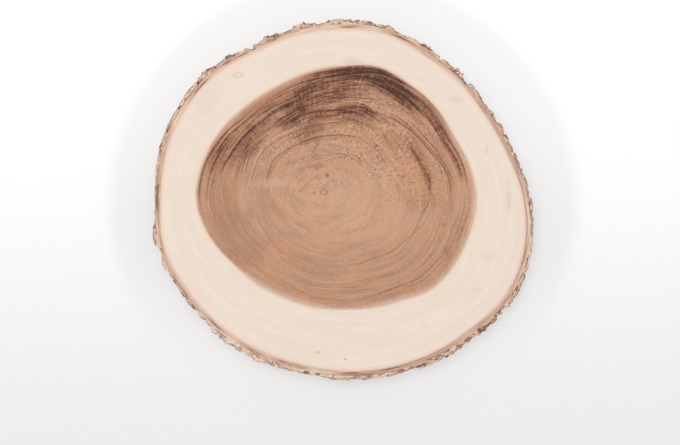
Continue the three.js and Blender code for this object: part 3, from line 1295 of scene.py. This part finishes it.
    sap_spots: tuple[Spot, ...] = (
        Spot((-98.8, 117.6), (8.0, 4.6), Tint.FAWN, 0.75),
        Spot((-98.8, 117.6), (4.2, 2.2), Tint.CREAM, 0.8),
        Spot((106.4, 94.7), (10.0, 5.0), Tint.GREY, 0.4),
        Spot((-24.2, -143.6), (4.0, 2.2), Tint.FAWN, 0.9),
        Spot((1.9, -150.2), (2.0, 1.2), Tint.BROWN, 0.5),
        Spot((156.1, -0.2), (3.5, 15.0), Tint.FAWN, 0.6),
        Spot((134.8, 47.3), (2.6, 8.0), Tint.FAWN, 0.5),
        Spot((120.7, -52.3), (3.0, 6.0), Tint.FAWN, 0.4),
        Spot((9.0, 130.5), (13.0, 5.0), Tint.TAN, 0.3),
        Spot((107.6, -45.0), (2.4, 1.6), Tint.BROWN, 0.35),
        Spot((138.6, -52.6), (10.0, 7.0), Tint.FAWN, 0.3),
        Spot((127.0, -85.5), (8.0, 5.0), Tint.FAWN, 0.22),
        Spot((77.5, -118.0), (5.0, 3.0), Tint.FAWN, 0.35),
        Spot((154.6, 15.0), (2.4, 8.0), Tint.FAWN, 0.45),
        Spot((-129.8, 93.7), (16.0, 22.0), Tint.GREY, 0.22),
    )
    pores: Stain = Stain((-18, 170), (0.14, 0.98), 1.0)  # where they show most
    border_softness: Knots = (
        (0, 0.03), (15, 0.04), (30, 0.05), (42, 0.012), (60, 0.018), (75, 0.02), (90, 0.03), (120, 0.045),
        (150, 0.045), (165, 0.024), (190, 0.024), (212, 0.022), (240, 0.065), (258, 0.06), (285, 0.028),
        (300, 0.055), (330, 0.035), (360, 0.045),
    )
    halo_strength: Knots = (
        (0, 0.5), (35, 0.8), (60, 1.0), (150, 1.0), (175, 0.6), (210, 0.25), (300, 0.2), (360, 0.5)
    )
    line_strength: Knots = (
        (0, 0.4), (20, 0.9), (60, 1.0), (150, 1.0), (185, 0.6), (220, 0.1), (300, 0.1), (345, 0.2), (360, 0.4)
    )

    def darkness(self, face: Surface, figure: Figure) -> tuple[Socket, Socket]:
        """Works out how dark stains and lines make the heartwood: stains times the noise in them, plus lines.

        Args:
            face: the sawn face.
            figure: its noise.

        Returns:
            The darkness, which passes 1 where marks meet, and the mask of the pale lines.
        """
        nodes = face.nodes
        cloud = face.clouds(self.stains)
        lined = nodes.span(figure.hair, 0.32, 0.68, 0.45, 1.5)
        flecked = nodes.times(
            nodes.span(figure.dashes, 0.3, 0.65, 0.6, 1.3), nodes.span(figure.rays, 0.35, 0.65, 0.65, 1.3)
        )
        banded = nodes.span(figure.fine, 0.3, 0.7, 0.65, 1.3)
        dark = nodes.times(nodes.times(cloud, lined), nodes.times(flecked, banded))
        breaks = nodes.span(figure.dashes, 0.3, 0.55, 0.45, 1.1)
        dark = nodes.maths("MULTIPLY_ADD", face.lines(self.dark_lines, breaks), 0.7, dark)
        return dark, face.lines(self.pale_lines, breaks)

    def heartwood(self, face: Surface, figure: Figure) -> Socket:
        """Colours the heartwood: its base and figure, then pores, then dark and pale marks.

        Args:
            face: the sawn face.
            figure: its noise.

        Returns:
            The colour.
        """
        nodes = face.nodes
        dark, pale = self.darkness(face, figure)
        heart = nodes.coated(
            (192, 147, 118),
            Coat(face.growth, 0.75, 0.0, 1.0, (209, 167, 136)),
            Coat(figure.patches, 0.42, 0.62, 0.5, (203, 150, 114)),
            Coat(figure.patches, 0.5, 0.36, 0.45, (183, 145, 122)),
            Coat(figure.broad, 0.45, 0.7, 0.4, (168, 121, 95)),
        )
        rust = nodes.times(face.clouds(self.rusts), nodes.span(figure.dashes, 0.3, 0.6, 0.35, 0.8))
        heart = nodes.blend(rust, heart, Tint.RUST.value)
        still = nodes.span(face.growth, 0.2, 0.9, 0.3, 0.7)
        calm = nodes.span(nodes.profile(face.turn, self.line_strength), 0.0, 1.0, still, 1.0)
        heart = nodes.coated(
            heart,
            Coat(figure.fine, 0.5, 0.72, 0.55, (158, 110, 84), calm),
            Coat(figure.fine, 0.5, 0.3, 0.35, (222, 180, 149)),
            Coat(figure.hair, 0.52, 0.75, 0.45, (150, 104, 80), calm),
            Coat(figure.grain, 0.55, 0.75, 0.4, (152, 107, 83), calm),
            Coat(figure.grain, 0.45, 0.27, 0.25, (224, 184, 154)),
        )
        heart = face.dotted(self.heart_spots, heart)
        pored = nodes.span(face.clouds((self.pores,)), 0.0, 1.0, 0.25, 1.0)
        coarse = nodes.times(pored, nodes.span(nodes.noise(face.place, 0.11), 0.35, 0.6, 0.35, 1.0))
        strokes = face.noise(38.0, 62.0, 2.0, 0.8)
        heart = nodes.coated(
            heart,
            Coat(strokes, 0.51, 0.68, 1.0, (138, 92, 70), coarse),
            Coat(strokes, 0.47, 0.32, 0.75, (228, 188, 158), coarse),
            Coat(dark, 0.0, 0.5, 0.8, (145, 95, 70)),
            Coat(dark, 0.35, 0.95, 0.85, (101, 62, 46)),
            Coat(dark, 0.85, 1.35, 0.8, (72, 41, 31)),
        )
        return nodes.blend(nodes.times(pale, 0.7), heart, (216, 178, 152))

    def sapwood(self, face: Surface, figure: Figure) -> Socket:
        """Colours the sapwood: cream with faint figure, browner by the heartwood.

        Args:
            face: the sawn face.
            figure: its noise.

        Returns:
            The colour.
        """
        nodes = face.nodes
        sap = nodes.coated(
            (241, 225, 211),
            Coat(face.noise(2.2, 9.0, 3.0, out=figure.bent), 0.35, 0.65, 1.0, (238, 220, 205)),
            Coat(figure.patches, 0.45, 0.7, 0.5, (240, 221, 201)),
            Coat(figure.fine, 0.5, 0.75, 0.35, (232, 212, 195)),
            Coat(figure.grain, 0.55, 0.8, 0.45, (228, 207, 190)),
            Coat(figure.grain, 0.45, 0.25, 0.4, (248, 234, 221)),
            Coat(face.growth, 1.11, 0.98, 0.8, (224, 189, 156), nodes.profile(face.turn, self.halo_strength)),
        )
        return face.dotted(self.sap_spots, sap)

    def dress(self, face: Surface) -> tuple[Socket, Socket]:
        """Lays the heartwood over the sapwood, and the inner layers of the bark over both by the cambium.

        Args:
            face: the sawn face.

        Returns:
            The colour and the height of the grain.
        """
        nodes = face.nodes
        figure = Figure.read(face)
        heart, sap = self.heartwood(face, figure), self.sapwood(face, figure)
        softness = nodes.profile(face.turn, self.border_softness)
        edge = nodes.swayed(face.growth, figure.dashes, 0.04)
        inside = nodes.span(edge, nodes.maths("ADD", 1.0, softness), nodes.maths("SUBTRACT", 1.0, softness))
        wood = nodes.blend(inside, sap, heart)
        height = nodes.maths("MULTIPLY_ADD", figure.grain, 0.5, nodes.times(figure.fine, 0.3))
        return nodes.blend(nodes.span(face.depth, -4.5, -2.0), wood, face.bast()), height


@dataclass(frozen=True)
class RimFinish(Finish):
    """The bark's cut edge: smooth inner layers, then chips of dead bark, then the weathered skin."""

    name: str = "cut_bark"
    roughness: float = 0.75
    specular: float = 0.3
    bump: float = 0.5
    bump_distance: float = 0.0006
    dried_line: Knots = (
        (0, 0.6), (12, 0.5), (28, 0.45), (45, 0.05), (90, 0.0), (150, 0.1), (180, 0.3), (200, 0.25),
        (225, 0.15), (250, 0.15), (280, 0.15), (300, 0.6), (315, 0.15), (330, 0.1), (348, 0.55), (360, 0.6),
    )
    weather: Knots = (
        (0, 0.43), (60, 0.48), (90, 0.53), (120, 0.38), (150, 0.5), (175, 0.54), (210, 0.65), (245, 0.62),
        (285, 0.56), (300, 0.4), (330, 0.4), (345, 0.53), (360, 0.43),
    )

    def layered(self, face: Surface) -> Socket:
        """Colours the inner layers, with lines along the rings and a dried thread at the cambium in places.

        Args:
            face: the sawn face.

        Returns:
            The colour.
        """
        nodes = face.nodes
        line = face.noise(5.5, 0.45, 3.0, 0.6, face.depth)
        begun = nodes.span(face.depth, 0.0, 0.8)
        thread = nodes.times(nodes.span(face.depth, 0.1, 0.6), nodes.span(face.depth, 1.9, 1.3))
        dried = nodes.times(nodes.profile(face.turn, self.dried_line), thread)
        colour = nodes.coated(
            face.bast(),
            Coat(line, 0.52, 0.66, 1.0, (148, 106, 84), begun),
            Coat(line, 0.47, 0.34, 0.9, (240, 214, 192), begun),
        )
        return nodes.blend(dried, colour, (142, 116, 104))

    def chips(self, face: Surface) -> Socket:
        """Colours the chips of dead bark, from dark brown to cream, with dark gaps between.

        Args:
            face: the sawn face.

        Returns:
            The colour.
        """
        nodes = face.nodes
        where = face.rings(42.0, 0.5, face.depth)
        own = nodes.split(nodes.cells(where, 1.0, "Color"))[0]
        tone = nodes.maths("ADD", own, nodes.maths("SUBTRACT", nodes.profile(face.turn, self.weather), 0.5))
        colour = nodes.layers(tone, (
            (0.0, (106, 78, 62)), (0.15, (172, 132, 108)), (0.4, (220, 180, 152)), (0.65, (240, 208, 182)),
            (1.0, (255, 240, 222)),
        ))
        gap = nodes.cells(where, 5.0, "Distance", feature="DISTANCE_TO_EDGE")
        return nodes.coated(colour, Coat(gap, 0.08, 0.015, 0.8, (92, 66, 54)))

    def dress(self, face: Surface) -> tuple[Socket, Socket]:
        """Lays the chips over the inner layers, with weathered skin at the edge and painted shade,
        near-black, in the bark's furrows.

        Args:
            face: the sawn face.

        Returns:
            The colour and the height of the grain.
        """
        nodes = face.nodes
        streak = face.noise(26.0, 1.6, 3.0, 0.6, face.depth)
        outer = nodes.span(nodes.maths("MULTIPLY_ADD", streak, 2.6, face.depth), 5.0, 6.0)
        colour = nodes.blend(nodes.times(outer, 0.85), self.layered(face), self.chips(face))
        edge = nodes.swayed(nodes.value("inset", "Fac"), face.noise(14.0, 0.1, 2.0, out=face.depth), 3.0)
        colour = nodes.coated(
            colour,
            Coat(edge, 0.7, 0.2, 0.6, (128, 100, 84)),
            # painted shade: near-black over the outer chips where the bark's relief is low, in its furrows
            Coat(nodes.split(nodes.value("scales"))[2], 0.32, 0.16, 0.75, (74, 54, 45), outer),
        )
        return colour, nodes.times(streak, nodes.span(face.depth, 0.0, 3.0))


@dataclass(frozen=True)
class BarkFinish(Finish):
    """The bark down the side."""

    name: str = "bark"
    roughness: float = 0.88
    specular: float = 0.25
    bump: float = 0.7
    bump_distance: float = 0.0008

    def dress(self, face: Surface) -> tuple[Socket, Socket]:
        """Places weathered bark, with its grit in the surface too.

        Args:
            face: the bark's surface.

        Returns:
            The colour and the height of the grain.
        """
        scales = face.nodes.value("scales")
        ledge = face.nodes.split(face.nodes.value("strata"))[2]
        colour = face.nodes.place(face.groups.bark_tone, place=face.place, scales=scales, ledge=ledge)
        return colour, colour.node.outputs["height"]


@dataclass
class Studio:
    """The pale floor, the soft lights and the camera straight above."""

    aim: tuple[float, float] = (-3.0, -21.3)  # the picture's middle on the slice's face, in millimetres
    frame_width: float = 640.3  # what the picture takes in at the slice's upper face
    lens: float = 85.0
    sensor: float = 36.0
    floor_size: float = 12.0
    sky: float = 0.62
    key_power: float = 22.0

    def floor(self) -> bpy.types.Object:
        """Lays the floor, which glows a little so that shadows on it stay light. The glow is painted light:
        brighter towards +y, and lowered in a painted soft shadow round the slice that fades out towards −y.

        Returns:
            The floor's object.
        """
        half = self.floor_size / 2
        corners = [(-half, -half, 0), (half, -half, 0), (half, half, 0), (-half, half, 0)]
        mesh = bpy.data.meshes.new("floor")
        mesh.from_pydata(corners, [], [(0, 1, 2, 3)])
        floor = bpy.data.objects.new("floor", mesh)
        bpy.context.scene.collection.objects.link(floor)
        material = bpy.data.materials.new("pale_floor")
        material.use_nodes = True
        nodes = Nodes(material.node_tree)
        shader = material.node_tree.nodes["Principled BSDF"]
        shader.inputs["Base Color"].default_value = (0.42, 0.42, 0.42, 1.0)
        shader.inputs["Roughness"].default_value = 1.0
        shader.inputs["Specular IOR Level"].default_value = 0.0
        place = nodes.millimetres()
        y = nodes.split(place)[1]
        away = nodes.vectors("LENGTH", nodes.vectors("MULTIPLY", place, (1.0, 1.04, 0.0)))
        # painted shadow: the floor's glow is lowered in a soft ring round the slice, fading out towards −y
        shade = nodes.times(nodes.span(away, 235.0, 212.0, 0.0, 0.09), nodes.span(y, -160.0, -10.0))
        # painted light: the glow rises from the −y side to the +y side, less the painted shadow
        glow_with_painted_shade = nodes.maths("SUBTRACT", nodes.span(y, -260.0, 140.0, 0.445, 0.62), shade)
        nodes.feed(shader.inputs["Emission Color"], nodes.join(glow_with_painted_shade, glow_with_painted_shade, glow_with_painted_shade))
        shader.inputs["Emission Strength"].default_value = 1.0
        mesh.materials.append(material)
        return floor

    def lights(self) -> None:
        """Hangs one large soft light up and to the left, and lights the room evenly."""
        world = bpy.data.worlds.new("soft_room")
        bpy.context.scene.world = world
        world.use_nodes = True
        sky = world.node_tree.nodes["Background"]
        sky.inputs["Color"].default_value = (1.0, 1.0, 1.0, 1.0)
        sky.inputs["Strength"].default_value = self.sky
        light = bpy.data.lights.new("key", "AREA")
        light.shape = "SQUARE"
        light.size = 1.2
        light.energy = self.key_power
        key = bpy.data.objects.new("key", light)
        key.location = (-0.25, 0.35, 2.3)
        key.rotation_euler = (Vector((0.0, 0.0, 0.0)) - key.location).to_track_quat("-Z", "Y").to_euler()
        key.visible_camera = False
        bpy.context.scene.collection.objects.link(key)

    def camera(self, top: float) -> None:
        """Sets the camera over the slice, looking straight down, with its upper face at the picture's scale.

        Args:
            top: height of the slice's upper face, in metres.
        """
        data = bpy.data.cameras.new("camera")
        data.lens = self.lens
        data.sensor_width = self.sensor
        data.clip_end = 50.0
        camera = bpy.data.objects.new("camera", data)
        distance = self.lens / self.sensor * self.frame_width * MM
        camera.location = (self.aim[0] * MM, self.aim[1] * MM, top + distance)
        bpy.context.scene.collection.objects.link(camera)
        bpy.context.scene.camera = camera

    def look(self) -> None:
        """Shows colours as they are."""
        scene = bpy.context.scene
        scene.view_settings.view_transform = "Standard"
        scene.view_settings.look = "None"
        scene.cycles.use_denoising = True


def main() -> None:
    """Builds the slice and its studio."""
    logging.basicConfig(level=logging.INFO, format="%(name)s: %(message)s")
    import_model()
    low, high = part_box("wood_slice")
    trunk = Trunk()
    body = WoodSlice(trunk, TextureMap()).build(low, high)
    groups = Groups(ring_line_group(), stain_group(), spot_group(), bast_group(), bark_tone_group())
    for finish in (SawnFinish(), RimFinish(), BarkFinish()):
        body.data.materials.append(finish.build(groups, trunk.pith))
    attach(body, "root")
    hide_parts("wood_slice")
    LOG.info("wood_slice_body: %d points, %d faces", len(body.data.vertices), len(body.data.polygons))
    studio = Studio()
    studio.floor()
    studio.lights()
    studio.camera(float(high[2]))
    studio.look()


if __name__ == "__main__":
    main()
